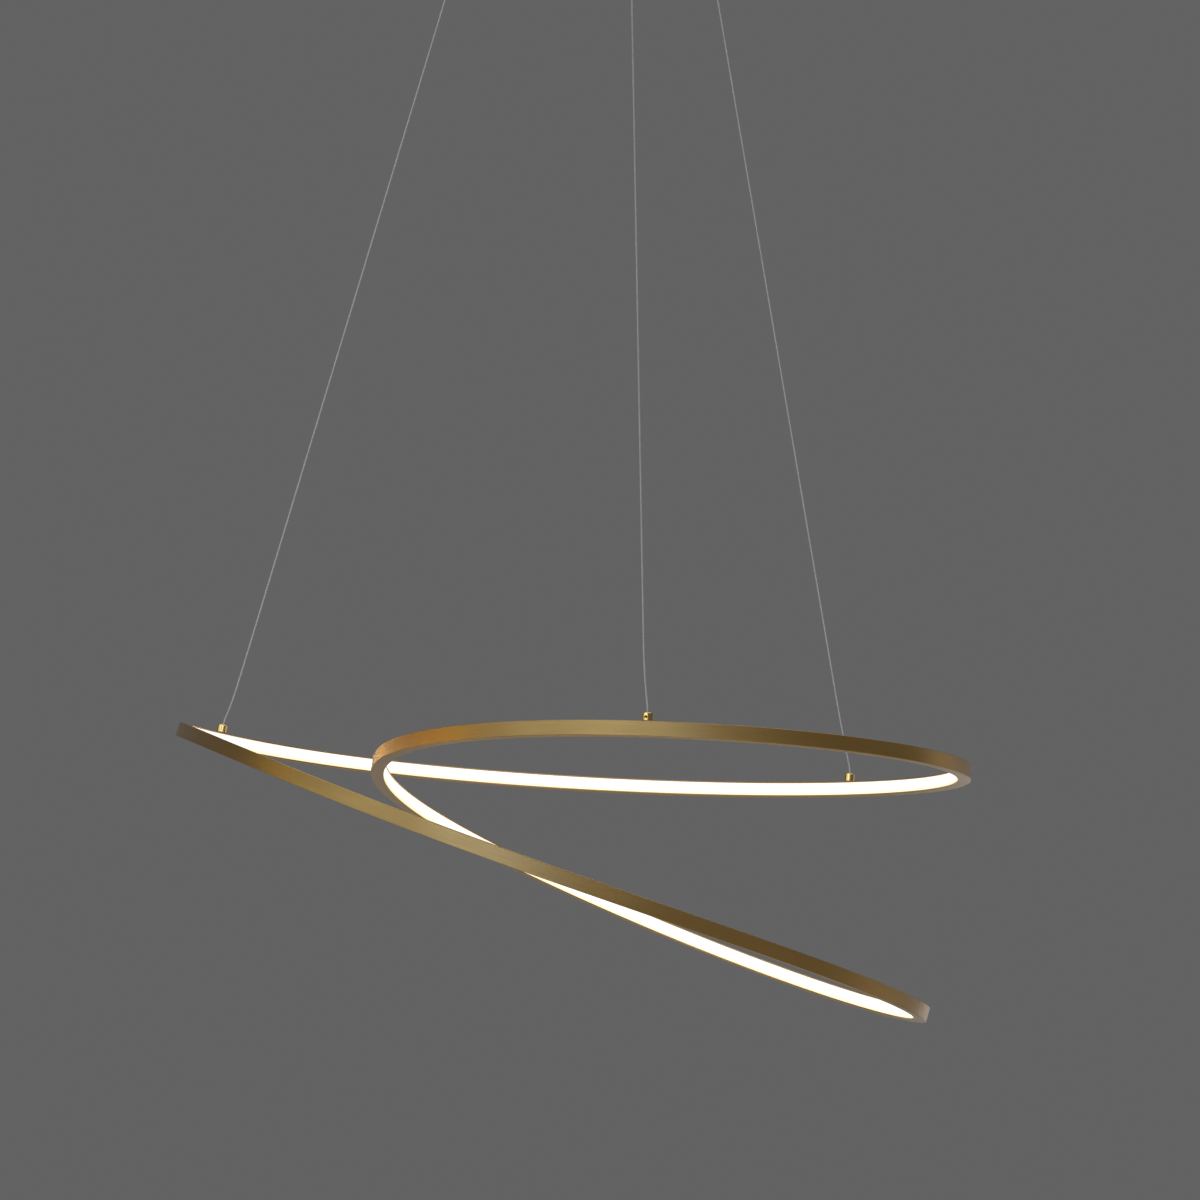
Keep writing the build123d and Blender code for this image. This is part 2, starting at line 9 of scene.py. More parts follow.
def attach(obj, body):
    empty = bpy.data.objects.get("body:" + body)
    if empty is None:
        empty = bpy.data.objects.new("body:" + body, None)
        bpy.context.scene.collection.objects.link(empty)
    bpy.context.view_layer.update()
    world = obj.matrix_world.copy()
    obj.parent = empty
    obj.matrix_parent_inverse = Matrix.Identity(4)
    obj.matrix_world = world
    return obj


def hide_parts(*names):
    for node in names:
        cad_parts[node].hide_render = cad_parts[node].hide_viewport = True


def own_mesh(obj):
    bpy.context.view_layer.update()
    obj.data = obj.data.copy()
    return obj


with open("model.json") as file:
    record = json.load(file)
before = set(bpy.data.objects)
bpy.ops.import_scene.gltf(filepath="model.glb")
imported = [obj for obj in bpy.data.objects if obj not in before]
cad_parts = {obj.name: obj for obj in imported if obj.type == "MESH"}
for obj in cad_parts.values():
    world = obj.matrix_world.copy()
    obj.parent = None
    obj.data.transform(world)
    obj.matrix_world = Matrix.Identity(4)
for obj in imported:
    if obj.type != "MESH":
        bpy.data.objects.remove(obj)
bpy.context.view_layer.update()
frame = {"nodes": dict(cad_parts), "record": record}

# LED pendant light: a lit satin gold channel in a closed double loop, hung by three wires from a canopy
# Metres, in the CAD frame: +Z up, +X to the right, +Y to the back, the origin on the ceiling

# Double loop, by the CAD's waves
LOOP_RADIUS = 0.324  # each turn is close to a circle of this radius
LOOP_SIDE = -0.012  # middle of the loop, to the left of the canopy
LOOP_SPREAD = 0.1225  # the turns lie this far to the left and to the right of that middle
LEFT_ROUNDING = 0.024  # draws in the outer left end
END_SHIFT = 0.020  # leans the ends of the turns
END_FLATTENING = 0.0185  # flattens the four ends
HANG_DROP = 1.1535  # ceiling to the mean level of the loop
LOOP_RISE = 0.106  # the upper turn lies above the mean level by this much, the lower turn below it
RIGHT_DROP = 0.070  # both turns fall to the right
LEFT_LIFT = 0.0215  # raises the outer left end
RISE_SHIFT = 0.0075  # steepens the way down
RISE_EASING = 0.0025  # eases the slopes towards the ends
RISE_RIPPLE = 0.0015  # five slight waves along the two turns
RIPPLE_LEAD = radians(37.0)  # share of a wave by which they start early
QUARTERS = ("upper_back", "upper_front", "lower_back", "lower_front")
STATIONS = 160  # along each quarter
BEND_STEP = radians(0.5)  # the route's bend is measured over this turn to each side

# Channel and diffuser sections
CHANNEL_HEIGHT = 0.0145
CHANNEL_DEPTH = 0.013
CHANNEL_WALL = 0.001
CHANNEL_EDGE = 0.0005  # rounding of the outer edges
LIP_EDGE = 0.0003  # rounding of the lips at the mouth
INNER_EDGE = 0.0002
DIFFUSER_THICKNESS = 0.0016
DIFFUSER_RECESS = 0.0003
DIFFUSER_LEG = 0.001
DIFFUSER_LEG_WIDTH = 0.0012
SLIDE_GAP = 0.0001
EDGE_STEPS = 3  # faces on a rounded edge
HAIR = 1e-6  # allowance when two places are compared

# Wires, from the gripper in the canopy to the fitting on the channel
SIDES = ("left", "front", "right")
WIRE_DIAMETER = 0.002
EXIT_RADIUS = 0.093  # from the canopy's middle to a gripper
EXIT_ANGLES = {"left": 156.0, "front": -73.0, "right": 31.0}  # degrees round the canopy
FITTING_TURNS = {"left": 17.6, "front": 136.2, "right": 76.0}  # degrees along the route
# Points of the wires' bends, from the middle of the fitting's top
WIRE_KNEES = {
    "left": (0.0245, -0.0105, 0.0705),
    "front": (-0.0035, 0.011, 0.048),
    "right": (-0.011, -0.006, 0.060),
}
WIRE_FEET = {
    "left": (0.009, -0.003, 0.021),
    "front": (-0.001, 0.003, 0.014),
    "right": (-0.002, -0.001, 0.014),
}
FITTING_TOP = 0.00855  # over the channel's top face
WIRE_SINK = 0.0064  # the wire's end, below the fitting's top
WIRE_NECK = 0.0025  # the wire is in line with the fitting up to this height over it
NOSE_LEVEL = -0.061
TAIL_LEVEL = -0.018
EDGE_POINT = 6 * WIRE_DIAMETER  # extra route points lie this far above and below the plunger's nose
SPLINE_ORDER = 3
SPLINE_STEPS = 32  # points from one control point to the next
STRANDS = 6
LAY_LENGTH = 0.014  # the strands go once round the wire in this length
LAY_STEPS = 12
STRAND_STEPS = 4
COAT_RADIUS = 0.00098  # the clear coat fills the gaps between the strands up to here
OFF_THE_WIRES = (0.3, 1.0, 0.2)  # a direction that no stretch of wire has

# Plunger springs
SPRING_TOP = -0.0321
SPRING_BOTTOM = -0.0383
SPRING_RADIUS = 0.0032  # to the middle of the spring's wire
SPRING_WIRE = 0.0005
SPRING_TURNS = 5
SPRING_STEPS = 20  # along a turn
SPRING_SIDES = 8  # round the spring's wire

# Light that the strip's outer left end throws on the turn inside it
# Degrees along the route, from and to, and watts per metre
GLOW_STRETCHES = ((-34.0, -14.0, 0.32), (-14.0, 10.0, 0.12), (10.0, 24.0, 0.2))
GLOW_LENGTHS = 6  # lights in a stretch
GLOW_HEIGHT = 0.010
GLOW_STAND_OFF = 0.012  # in front of the channel's mouth
GLOW_TINT = (1.0, 0.62, 0.2)

# Satin gold
GOLD_TONES = ((0.55, 0.315, 0.075), (0.67, 0.400, 0.105))
GOLD_ROUGHNESS = (0.48, 0.40)
GOLD_ANISOTROPY = 0.75
QUARTER_TURN = 0.25  # of the gloss, which spreads across the brushing
STREAK_SHARE = 0.6  # of the tone
BLOTCH_SHARE = 0.4
STREAK_SCALE, BLOTCH_SCALE = (25.0, 1600.0, 1.0), (9.0, 60.0, 1.0)  # along and across the channel
GRAIN_SCALE, CLOUD_SCALE = (900.0, 900.0, 900.0), (25.0, 25.0, 25.0)  # on pieces without a route
LACQUER = {"Coat Weight": 0.7, "Coat Roughness": 0.4, "Coat IOR": 1.5}
BRUSHING_STRENGTH = 0.18
BRUSHING_DEPTH = 0.00008

# Lit face of the diffuser: places from its top edge to its bottom edge, with the colour of the light there
LIT_CORE = (1.0, 0.97, 0.88)
LIT_STOPS = (
    (0.0, (0.88, 0.74, 0.54)), (0.1, (0.95, 0.82, 0.64)), (0.3, LIT_CORE), (0.62, LIT_CORE),
    (0.80, (0.97, 0.84, 0.56)), (0.92, (0.90, 0.75, 0.38)), (1.0, (0.80, 0.62, 0.24)),
)
LIT_TONES = ((0.86, 0.84, 0.78), (0.93, 0.91, 0.86))
LIT_ROUGHNESS = (0.38, 0.5)
LIT_GRAIN = 400.0

# Fine mottling of all finishes
TONE_PLACES = (0.3, 0.7)  # values of the noise that have the first and the second tone
NOISE_ROUGHNESS = 0.6
MOTTLE_DEPTH = 0.0001
WIRE_COAT = {"Coat Weight": 0.3, "Coat Roughness": 0.25}

# Camera and stage
CAMERA_PLACE = (0.0, -7.9496, -1.9894)
CAMERA_PITCH = 7.6  # degrees up
CAMERA_LENS = 240.0
CAMERA_SENSOR = 36.0
FLOOR_LEVEL = -2.4
FLOOR_RADIUS = 4.0
FLOOR_SIDES = 96
FLOOR_COLOUR = (0.74, 0.735, 0.725, 1)
FLOOR_ROUGHNESS = 0.9
FLOOR_FADE = ((0.25, 1.0), (0.95, 0.0))  # shares of the radius, with the floor's cover there
BACKGROUND = (0.124, 0.124, 0.124, 1)
LAMP_MIDDLE = (0.0, 0.0, -1.15)
LIGHT_DISTANCE = 5.0
TOP_DISTANCE = 6.0
NEUTRAL = (1.0, 1.0, 1.0)
COOL = (0.84, 0.94, 1.0)
DAYLIGHT = (0.68, 0.82, 1.0)
PALE_BLUE = (0.42, 0.58, 1.0)
WARM = (1.0, 0.86, 0.25)


# Shapes


def route(turns):
    """Points on the channel's middle line, at these angles in radians along the two turns."""
    t = np.asarray(turns, float)
    x = LOOP_SIDE - LOOP_SPREAD * np.cos(t) - LOOP_RADIUS * np.cos(2 * t)
    x += LEFT_ROUNDING * np.cos(3 * t) - END_SHIFT * np.sin(3 * t) + END_FLATTENING * np.cos(4 * t)
    y = LOOP_RADIUS * np.sin(2 * t)
    z = LOOP_RISE * np.sin(t) + LEFT_LIFT * np.cos(t) + RIGHT_DROP * np.cos(2 * t)
    z += RISE_EASING * np.sin(4 * t) - RISE_SHIFT * np.sin(3 * t) - HANG_DROP
    z += RISE_RIPPLE * np.cos(5 * t + RIPPLE_LEAD)
    return np.stack([x, y, z], axis=-1)


def unit(vectors):
    return vectors / np.linalg.norm(vectors, axis=-1, keepdims=True)


def across(turns):
    """Middle points of the channel, and its directions there: out of the bend, up its height and along it."""
    before, here, after = route(turns - BEND_STEP), route(turns), route(turns + BEND_STEP)
    ahead = unit(after - before)
    up = unit(np.cross(ahead, 2 * here - before - after))
    return here, np.cross(up, ahead), up, ahead


def lengths_along(places):
    """Length along a line of points, from its start to each of them."""
    return np.concatenate([[0], np.linalg.norm(np.diff(places, axis=0), axis=1).cumsum()])


def new_object(name, data):
    made = bpy.data.objects.new(name, data)
    bpy.context.scene.collection.objects.link(made)
    return made


def rounded_outline(corners):
    """Points and normals of a closed outline, anticlockwise, whose corners (x, y, radius) are rounded."""
    points, normals = [], []
    for i, (x, y, radius) in enumerate(corners):
        corner = np.array((x, y))
        before = unit(np.array(corners[i - 1][:2]) - corner)
        after = unit(np.array(corners[(i + 1) % len(corners)][:2]) - corner)
        middle = corner + radius * (before + after)
        hollow = before[0] * after[1] - before[1] * after[0] > 0
        for step in range(EDGE_STEPS + 1):
            angle = pi / 2 * step / EDGE_STEPS
            spoke = -after * cos(angle) - before * sin(angle)
            points.append(middle + radius * spoke)
            normals.append(-spoke if hollow else spoke)
    return np.array(points), np.array(normals)


def channel_outline():
    """Channel section: open towards the inside of the loop."""
    far, near, high = CHANNEL_DEPTH / 2, -CHANNEL_DEPTH / 2, CHANNEL_HEIGHT / 2
    floor, shelf = far - CHANNEL_WALL, high - CHANNEL_WALL
    return rounded_outline([
        (far, -high, CHANNEL_EDGE), (far, high, CHANNEL_EDGE),
        (near, high, LIP_EDGE), (near, shelf, LIP_EDGE), (floor, shelf, INNER_EDGE),
        (floor, -shelf, INNER_EDGE), (near, -shelf, LIP_EDGE), (near, -high, LIP_EDGE),
    ])


def diffuser_outline():
    """Diffuser section: a face in the channel's mouth with a clip leg along its top and its bottom."""
    face = DIFFUSER_RECESS - CHANNEL_DEPTH / 2
    back, heel = face + DIFFUSER_THICKNESS, face + DIFFUSER_THICKNESS + DIFFUSER_LEG
    high = CHANNEL_HEIGHT / 2 - CHANNEL_WALL - SLIDE_GAP
    leg = high - DIFFUSER_LEG_WIDTH
    return rounded_outline([
        (face, high, LIP_EDGE), (face, -high, LIP_EDGE),
        (heel, -high, INNER_EDGE), (heel, -leg, INNER_EDGE), (back, -leg, INNER_EDGE),
        (back, leg, INNER_EDGE), (heel, leg, INNER_EDGE), (heel, high, INNER_EDGE),
    ])


def front_of_diffuser(a, b):
    """Whether an edge of the diffuser's section is on the lit face or on the roundings beside it."""
    return max(a[0], b[0]) < DIFFUSER_RECESS - CHANNEL_DEPTH / 2 + LIP_EDGE + HAIR


def swept_piece(name, outline, start, materials, lit_faces=None):
    """Solid of an outline along one quarter of the route, from the angle start.

    Its UV is the place along the whole route and the place round the outline.
    """
    section, section_normals = outline
    middle, out, up, ahead = across(start + np.linspace(0, pi / 2, STATIONS + 1))

    def placed(flat):
        return out[:, None] * flat[None, :, :1] + up[:, None] * flat[None, :, 1:]

    points = (middle[:, None] + placed(section)).reshape(-1, 3)
    normals = placed(section_normals).reshape(-1, 3)
    count = len(section)
    reach = lengths_along(route(np.linspace(0, start + pi / 2, 4 * STATIONS)))[-1]
    own = lengths_along(middle)
    along = reach - own[-1] + own
    round_it = lengths_along(np.vstack([section, section[:1]]))

    faces, uvs, corner_normals, lit = [], [], [], []
    for i in range(STATIONS):
        for j in range(count):
            k = (j + 1) % count
            face = (i * count + j, i * count + k, (i + 1) * count + k, (i + 1) * count + j)
            faces.append(face)
            lit.append(bool(lit_faces and lit_faces(section[j], section[k])))
            uvs += [(along[i], round_it[j]), (along[i], round_it[j + 1])]
            uvs += [(along[i + 1], round_it[j + 1]), (along[i + 1], round_it[j])]
            corner_normals += [normals[v] for v in face]
    for station, way in ((0, -1), (STATIONS, 1)):
        ring = [station * count + j for j in range(count)]
        faces.append(tuple(ring[::way]))
        lit.append(False)
        uvs += [(along[station], 0.0)] * count
        corner_normals += [way * ahead[station]] * count

    mesh = bpy.data.meshes.new(name)
    mesh.from_pydata(points.tolist(), [], faces)
    layer = mesh.uv_layers.new(name="route")
    layer.data.foreach_set("uv", np.array(uvs, float).ravel())
    mesh.polygons.foreach_set("use_smooth", [len(face) == 4 for face in faces])
    mesh.polygons.foreach_set("material_index", np.array(lit, int))
    for material in materials:
        mesh.materials.append(material)
    mesh.normals_split_custom_set(np.array(corner_normals).tolist())
    return new_object(name, mesh)


def tube_piece(name, rings, material):
    """Closed tube through rings of points."""
    stations, count = rings.shape[:2]
    faces = []
    for i in range(stations - 1):
        for j in range(count):
            k = (j + 1) % count
            faces.append((i * count + j, i * count + k, (i + 1) * count + k, (i + 1) * count + j))
    last = (stations - 1) * count
    faces += [tuple(range(count))[::-1], tuple(range(last, last + count))]
    mesh = bpy.data.meshes.new(name)
    mesh.from_pydata(rings.reshape(-1, 3).tolist(), [], faces)
    mesh.polygons.foreach_set("use_smooth", [len(face) == 4 for face in faces])
    mesh.materials.append(material)
    return new_object(name, mesh)


def read_spline(name, points):
    """Points along a smooth line with these control points."""
    line = bpy.data.curves.new(name, "CURVE")
    line.dimensions = "3D"
    spline = line.splines.new("NURBS")
    spline.points.add(len(points) - 1)
    for control, point in zip(spline.points, points):
        control.co = (*point, 1.0)
    spline.order_u = SPLINE_ORDER
    spline.use_endpoint_u = True
    spline.resolution_u = SPLINE_STEPS
    holder = bpy.data.objects.new(name, line)
    mesh = bpy.data.meshes.new_from_object(holder)
    places = np.array([v.co for v in mesh.vertices])
    bpy.data.objects.remove(holder)
    bpy.data.curves.remove(line)
    bpy.data.meshes.remove(mesh)
    return places


def evenly(places, step):
    """Points a steady step apart along a line, with the line's own ends, and their places along it."""
    along = lengths_along(places)
    wanted = np.linspace(0, along[-1], int(round(along[-1] / step)) + 1)
    return np.stack([np.interp(wanted, along, places[:, axis]) for axis in range(3)], axis=1), wanted


def fitting_top(side):
    """Middle of a wire fitting's top face, with the channel's up direction there."""
    middle, _, up, _ = across(np.array([radians(FITTING_TURNS[side])]))
    return middle[0] + up[0] * (CHANNEL_HEIGHT / 2 + FITTING_TOP), up[0]


def wire_route(side):
    """Control points of a suspension wire, from its end in the gripper down to its end in the fitting."""
    top, up = fitting_top(side)
    angle = radians(EXIT_ANGLES[side])
    nose = np.array((EXIT_RADIUS * cos(angle), EXIT_RADIUS * sin(angle), NOSE_LEVEL))
    tail = np.array((nose[0], nose[1], TAIL_LEVEL))
    neck = top + up * WIRE_NECK
    knee, foot = top + np.array(WIRE_KNEES[side]), top + np.array(WIRE_FEET[side])
    down = unit(knee - nose)
    above_nose = nose + np.array((0, 0, EDGE_POINT))
    before_knee = knee - down * np.linalg.norm(neck - knee)
    hand_points = [tail, above_nose, nose, nose + down * EDGE_POINT, before_knee, knee, foot]
    return hand_points + [neck, top - up * WIRE_SINK]


def wire_piece(side, material):
    """Suspension wire: strands laid round a core of their own thickness, under a clear coat."""
    places, along = evenly(read_spline(f"route_{side}", wire_route(side)), LAY_LENGTH / LAY_STEPS)
    strand_radius = WIRE_DIAMETER / 6
    to_strand = 2 * strand_radius
    shape = []
    for step in range(STRANDS * STRAND_STEPS):
        off = (step % STRAND_STEPS / STRAND_STEPS - 0.5) * 2 * pi / STRANDS
        side_step = to_strand * sin(off)
        reach = to_strand * cos(off) + sqrt(max(0.0, strand_radius**2 - side_step**2))
        shape.append((2 * pi * step / (STRANDS * STRAND_STEPS), max(reach, COAT_RADIUS)))
    angles, radii = np.array(shape).T
    turned = angles[None] + 2 * pi * along[:, None] / LAY_LENGTH
    ahead = unit(np.gradient(places, axis=0))
    first = unit(np.cross(ahead, OFF_THE_WIRES))
    second = np.cross(ahead, first)
    rings = places[:, None] + first[:, None] * (radii * np.cos(turned))[..., None]
    rings = rings + second[:, None] * (radii * np.sin(turned))[..., None]
    return tube_piece(f"wire_{side}", rings, material), places, along[-1]


def spring_piece(side, material):
    """Coil spring that holds a gripper's plunger down."""
    angle = radians(EXIT_ANGLES[side])
    turn = np.linspace(0, 2 * pi * SPRING_TURNS, SPRING_TURNS * SPRING_STEPS + 1)
    low, high = SPRING_BOTTOM + SPRING_WIRE / 2, SPRING_TOP - SPRING_WIRE / 2
    places = np.stack([
        EXIT_RADIUS * cos(angle) + SPRING_RADIUS * np.cos(turn),
        EXIT_RADIUS * sin(angle) + SPRING_RADIUS * np.sin(turn),
        low + (high - low) * turn / turn[-1],
    ], axis=1)
    spokes = 2 * pi * np.arange(SPRING_SIDES) / SPRING_SIDES
    ring = SPRING_WIRE / 2 * np.stack([np.cos(spokes), np.sin(spokes)], axis=1)
    inward = -np.stack([np.cos(turn), np.sin(turn), 0 * turn], axis=1)
    upward = np.array((0.0, 0.0, 1.0))
    rings = places[:, None] + inward[:, None] * ring[None, :, :1] + upward * ring[None, :, 1:]
    return tube_piece(f"plunger_spring_{side}", rings, material)


# Materials


def new_material(name):
    material = bpy.data.materials.new(name)
    material.use_nodes = True
    tree = material.node_tree
    return material, tree, tree.nodes["Principled BSDF"]


def add(tree, kind, settings=None, **inputs):
    """A shader node, with its settings and its inputs given as values or as sockets to link from."""
    made = tree.nodes.new("ShaderNode" + kind)
    for key, value in (settings or {}).items():
        setattr(made, key, value)
    for key, value in inputs.items():
        feed(tree, made, key.replace("_", " "), value)
    return made


def feed(tree, shader, key, value):
    """Set an input, given by its name or number, to a value or link it from a socket."""
    if isinstance(value, bpy.types.NodeSocket):
        tree.links.new(value, shader.inputs[key])
    else:
        shader.inputs[key].default_value = value


def reckon(tree, operation, *values, clamp=False):
    """Output of a math node with these inputs."""
    made = add(tree, "Math", {"operation": operation, "use_clamp": clamp})
    for number, value in enumerate(values):
        feed(tree, made, number, value)
    return made.outputs["Value"]


def noise(tree, place, scale, **inputs):
    return add(tree, "TexNoise", Vector=place, Scale=scale, **inputs).outputs["Fac"]


def stretched(tree, place, scale):
    return add(tree, "Mapping", Vector=place, Scale=scale).outputs["Vector"]


def ramp(tree, factor, *stops):
    """Colour ramp through stops of a place and a grey or colour."""
    made = add(tree, "ValToRGB", Fac=factor)
    bands = made.color_ramp.elements
    while len(bands) < len(stops):
        bands.new(0.5)
    for band, (place, tone) in zip(bands, stops):
        band.position = place
        band.color = (tone, tone, tone, 1) if isinstance(tone, float) else (*tone, 1)
    return made.outputs["Color"]


def vary(tree, shader, factor, tones, roughness):
    """Colour and gloss that go from the first of two tones to the second with the noise."""
    feed(tree, shader, "Base Color", ramp(tree, factor, *zip(TONE_PLACES, tones)))
    feed(tree, shader, "Roughness", ramp(tree, factor, *zip(TONE_PLACES, roughness)))


def brushed_gold(name, along_route):
    """Satin gold, brushed along the channel, or in no one direction on pieces without a route."""
    material, tree, shader = new_material(name)
    if along_route:
        place = add(tree, "UVMap", {"uv_map": "route"}).outputs["UV"]
        streak_scale, blotch_scale = STREAK_SCALE, BLOTCH_SCALE
        along = add(tree, "Tangent", {"direction_type": "UV_MAP", "uv_map": "route"})
        feed(tree, shader, "Tangent", along.outputs["Tangent"])
        feed(tree, shader, "Anisotropic", GOLD_ANISOTROPY)
        feed(tree, shader, "Anisotropic Rotation", QUARTER_TURN)
    else:
        place = add(tree, "TexCoord").outputs["Object"]
        streak_scale, blotch_scale = GRAIN_SCALE, CLOUD_SCALE
    streak_place = stretched(tree, place, streak_scale)
    streaks = noise(tree, streak_place, 1.0, Detail=3.0, Roughness=NOISE_ROUGHNESS)
    blotches = noise(tree, stretched(tree, place, blotch_scale), 1.0, Detail=2.0)
    blotch_part = reckon(tree, "MULTIPLY", blotches, BLOTCH_SHARE)
    tone = reckon(tree, "MULTIPLY_ADD", streaks, STREAK_SHARE, blotch_part)
    vary(tree, shader, tone, GOLD_TONES, GOLD_ROUGHNESS)
    feed(tree, shader, "Metallic", 1.0)
    for key, value in LACQUER.items():
        feed(tree, shader, key, value)
    bump = add(tree, "Bump", Height=streaks, Strength=BRUSHING_STRENGTH, Distance=BRUSHING_DEPTH)
    feed(tree, shader, "Normal", bump.outputs["Normal"])
    return material


def lit_diffuser():
    """Opal diffuser with warm light behind it: near white, and deeper in colour along its edges."""
    material, tree, shader = new_material("lit_diffuser")
    place = add(tree, "UVMap", {"uv_map": "route"}).outputs["UV"]
    round_it = add(tree, "SeparateXYZ", Vector=place).outputs["Y"]
    face_height = CHANNEL_HEIGHT - 2 * CHANNEL_WALL - 2 * SLIDE_GAP
    share = reckon(tree, "DIVIDE", round_it, face_height)
    feed(tree, shader, "Emission Color", ramp(tree, share, *LIT_STOPS))
    feed(tree, shader, "Emission Strength", 1.0)
    grain = noise(tree, add(tree, "TexCoord").outputs["Object"], LIT_GRAIN, Detail=2.0)
    vary(tree, shader, grain, LIT_TONES, LIT_ROUGHNESS)
    return material


def mottled(name, dark, light, rough, scale, metallic=0.0, bump=0.0, settings=None):
    """Material whose colour, gloss and surface vary finely between two tones."""
    material, tree, shader = new_material(name)
    place = add(tree, "TexCoord").outputs["Object"]
    fine = noise(tree, place, scale, Detail=4.0, Roughness=NOISE_ROUGHNESS)
    vary(tree, shader, fine, (dark, light), rough)
    feed(tree, shader, "Metallic", metallic)
    for key, value in (settings or {}).items():
        feed(tree, shader, key, value)
    if bump:
        raised = add(tree, "Bump", Height=fine, Strength=bump, Distance=MOTTLE_DEPTH)
        feed(tree, shader, "Normal", raised.outputs["Normal"])
    return material


gold_channel = brushed_gold("gold_channel", along_route=True)
diffuser_glow = lit_diffuser()
opal = mottled("opal_diffuser", (0.84, 0.82, 0.77), (0.92, 0.9, 0.86), (0.4, 0.5), scale=300.0)
finishes = {
    "gold_channel": gold_channel,
    "opal_diffuser": opal,
    "gold_canopy": brushed_gold("gold_canopy", along_route=False),
    "led_strip": mottled(
        "led_strip", (0.84, 0.8, 0.66), (0.93, 0.9, 0.78), (0.45, 0.6), scale=500.0),
    "bare_aluminium": mottled(
        "bare_aluminium", (0.62, 0.62, 0.64), (0.78, 0.78, 0.8), (0.3, 0.42),
        scale=600.0, metallic=1.0, bump=0.1),
    "polished_brass": mottled(
        "polished_brass", (0.78, 0.53, 0.16), (0.86, 0.62, 0.23), (0.12, 0.18), scale=60.0, metallic=1.0),
    "nylon": mottled(
        "nylon", (0.78, 0.76, 0.7), (0.88, 0.86, 0.8), (0.42, 0.55), scale=700.0, bump=0.05),
    "wire": mottled(
        "wire", (0.55, 0.50, 0.44), (0.62, 0.56, 0.49), (0.4, 0.5),
        scale=150.0, metallic=0.2, settings=WIRE_COAT),
    "black_steel": mottled(
        "black_steel", (0.016, 0.016, 0.016), (0.04, 0.039, 0.037), (0.45, 0.6),
        scale=900.0, metallic=0.6, bump=0.05),
    "steel": mottled(
        "steel", (0.4, 0.4, 0.41), (0.56, 0.56, 0.57), (0.25, 0.38), scale=700.0, metallic=1.0, bump=0.05),
    "zinc_steel": mottled(
        "zinc_steel", (0.56, 0.58, 0.6), (0.76, 0.77, 0.78), (0.28, 0.45),
        scale=120.0, metallic=1.0, bump=0.08),
    "white_plastic": mottled(
        "white_plastic", (0.78, 0.78, 0.75), (0.86, 0.86, 0.83), (0.4, 0.55), scale=900.0, bump=0.12),
}
for part in frame["record"]["subparts"]:
    frame["nodes"][part["node"]].data.materials[0] = finishes[part["material_slot"]]

# Channel and diffuser of each quarter of the double loop
for number, quarter in enumerate(QUARTERS):
    start = number * pi / 2
    channel = swept_piece(f"gold_channel_{quarter}", channel_outline(), start, [gold_channel])
    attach(channel, "lamp")
    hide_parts(f"channel_{quarter}")
    diffuser = swept_piece(
        f"opal_diffuser_{quarter}", diffuser_outline(), start, [opal, diffuser_glow], front_of_diffuser)
    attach(diffuser, "lamp")
    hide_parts(f"diffuser_{quarter}")

# Wires and plunger springs
for side in SIDES:
    wire, path, length = wire_piece(side, finishes["wire"])
    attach(wire, "canopy")
    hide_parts(f"suspension_wire_{side}")
    # Between nose and fitting the real wire shortens by all of the lamp's travel; this drop from the nose to
    # the fitting is measured here but not used
    drop = NOSE_LEVEL - fitting_top(side)[0][2]
    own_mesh(wire)

    spring = spring_piece(side, finishes["steel"])
    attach(spring, "canopy")
    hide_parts(f"gripper_spring_{side}")
    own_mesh(spring)


# Light and stage


def area_light(name, width, height, power, tint):
    """Rectangular light that the camera doesn't see."""
    light = bpy.data.lights.new(name, "AREA")
    light.shape = "RECTANGLE"
    light.size, light.size_y = width, height
    light.energy = power
    light.color = tint
    lamp = new_object(name, light)
    lamp.visible_camera = False
    return lamp


def softbox(name, azimuth, elevation, width, height, power, tint, distance=LIGHT_DISTANCE):
    """Light that faces the lamp. Azimuth 0 is on the camera's side, and 90 to the right."""
    turn, rise = radians(azimuth), radians(elevation)
    away = Vector((sin(turn) * cos(rise), -cos(turn) * cos(rise), sin(rise)))
    lamp = area_light(name, width, height, power, tint)
    lamp.location = Vector(LAMP_MIDDLE) + distance * away
    lamp.rotation_euler = away.to_track_quat("Z", "Y").to_euler()


# Strip light at the outer left end, which moves with the lamp
for first, last, power in GLOW_STRETCHES:
    glow_step = radians(last - first) / GLOW_LENGTHS
    glow_turns = radians(first) + glow_step * (np.arange(GLOW_LENGTHS) + 0.5)
    glow_starts, glow_ends = route(glow_turns - glow_step / 2), route(glow_turns + glow_step / 2)
    glow_lengths = np.linalg.norm(glow_ends - glow_starts, axis=1)
    for middle, out, up, ahead, length in zip(*across(glow_turns), glow_lengths):
        glow = area_light("strip_glow", length, GLOW_HEIGHT, power * length, GLOW_TINT)
        glow.location = middle - out * (CHANNEL_DEPTH / 2 + GLOW_STAND_OFF)
        glow.rotation_euler = Matrix((ahead, -up, out)).transposed().to_euler()
        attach(glow, "lamp")

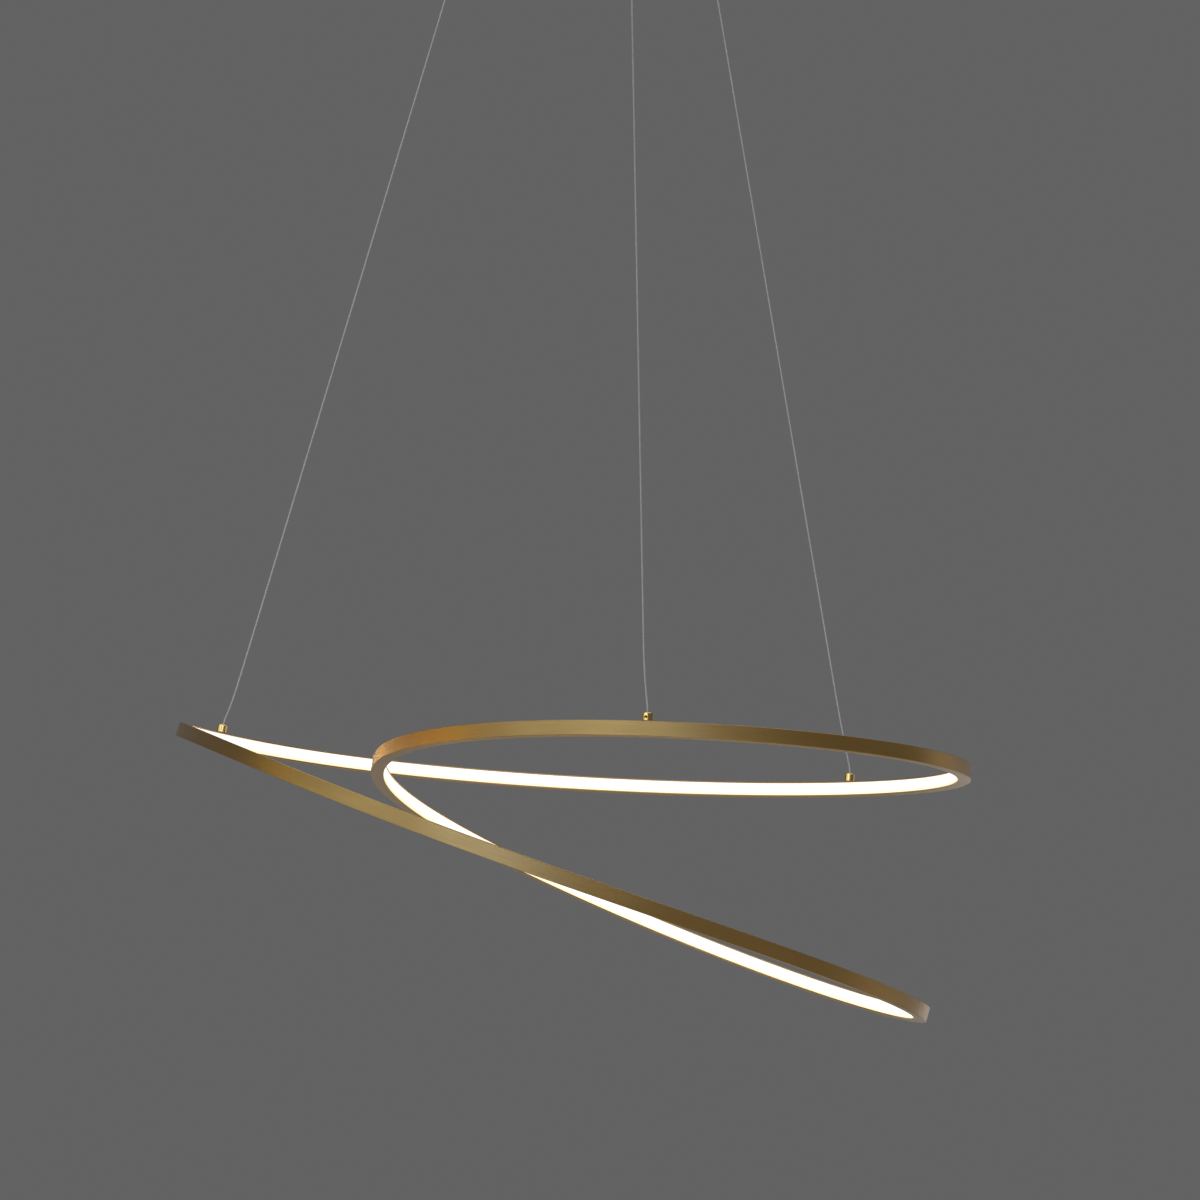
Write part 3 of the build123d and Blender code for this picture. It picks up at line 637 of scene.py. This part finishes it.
# Pale floor, which fades out into the plain background and is open from below
floor_turns = 2 * pi * np.arange(FLOOR_SIDES) / FLOOR_SIDES
floor_rim = [(FLOOR_RADIUS * cos(a), FLOOR_RADIUS * sin(a), FLOOR_LEVEL) for a in floor_turns]
floor_mesh = bpy.data.meshes.new("floor")
floor_mesh.from_pydata(floor_rim, [], [tuple(range(FLOOR_SIDES))])
floor = new_object("floor", floor_mesh)
floor_material, floor_tree, floor_shader = new_material("floor")
feed(floor_tree, floor_shader, "Base Color", FLOOR_COLOUR)
feed(floor_tree, floor_shader, "Roughness", FLOOR_ROUGHNESS)
floor_place = add(floor_tree, "TexCoord").outputs["Object"]
flat_place = stretched(floor_tree, floor_place, (1 / FLOOR_RADIUS, 1 / FLOOR_RADIUS, 0))
from_middle = add(floor_tree, "VectorMath", {"operation": "LENGTH"})
feed(floor_tree, from_middle, 0, flat_place)
fade = ramp(floor_tree, from_middle.outputs["Value"], *FLOOR_FADE)
from_below = add(floor_tree, "NewGeometry").outputs["Backfacing"]
feed(floor_tree, floor_shader, "Alpha", reckon(floor_tree, "SUBTRACT", fade, from_below, clamp=True))
floor_mesh.materials.append(floor_material)

# Plain grey background that also lights the object evenly
world = bpy.data.worlds.new("studio")
bpy.context.scene.world = world
world.use_nodes = True
world.node_tree.nodes["Background"].inputs["Color"].default_value = BACKGROUND

# Degrees of azimuth and elevation, metres of width and height, and watts
softbox("key", -35, 13, 3.5, 1.8, 38.0, DAYLIGHT)
softbox("key_left", -65, 13, 1.75, 1.8, 9.0, COOL)
softbox("key_right", -5, 13, 1.75, 1.8, 6.5, COOL)
softbox("low_front", -5, -9, 3.5, 1.6, 58.0, PALE_BLUE)
softbox("low_right", 25, -11, 1.75, 0.7, 4.5, COOL)
softbox("left", -85, 13, 1.75, 0.9, 5.5, WARM)
softbox("right", 114, -1, 2.2, 0.8, 4.0, NEUTRAL)
softbox("right_side", 138, -3, 2.2, 0.8, 1.8, NEUTRAL)
softbox("right_back", 163, -6, 2.2, 0.8, 4.6, NEUTRAL)
softbox("left_back", -170, -12, 2.2, 0.8, 1.7, NEUTRAL)
softbox("top", 149, 79, 7.0, 7.0, 150.0, NEUTRAL, TOP_DISTANCE)

camera = new_object("camera", bpy.data.cameras.new("camera"))
camera.location = CAMERA_PLACE
camera.rotation_euler = (radians(90 + CAMERA_PITCH), 0, 0)
camera.data.lens = CAMERA_LENS
camera.data.sensor_width = CAMERA_SENSOR
bpy.context.scene.camera = camera
bpy.context.scene.view_settings.view_transform = "Standard"
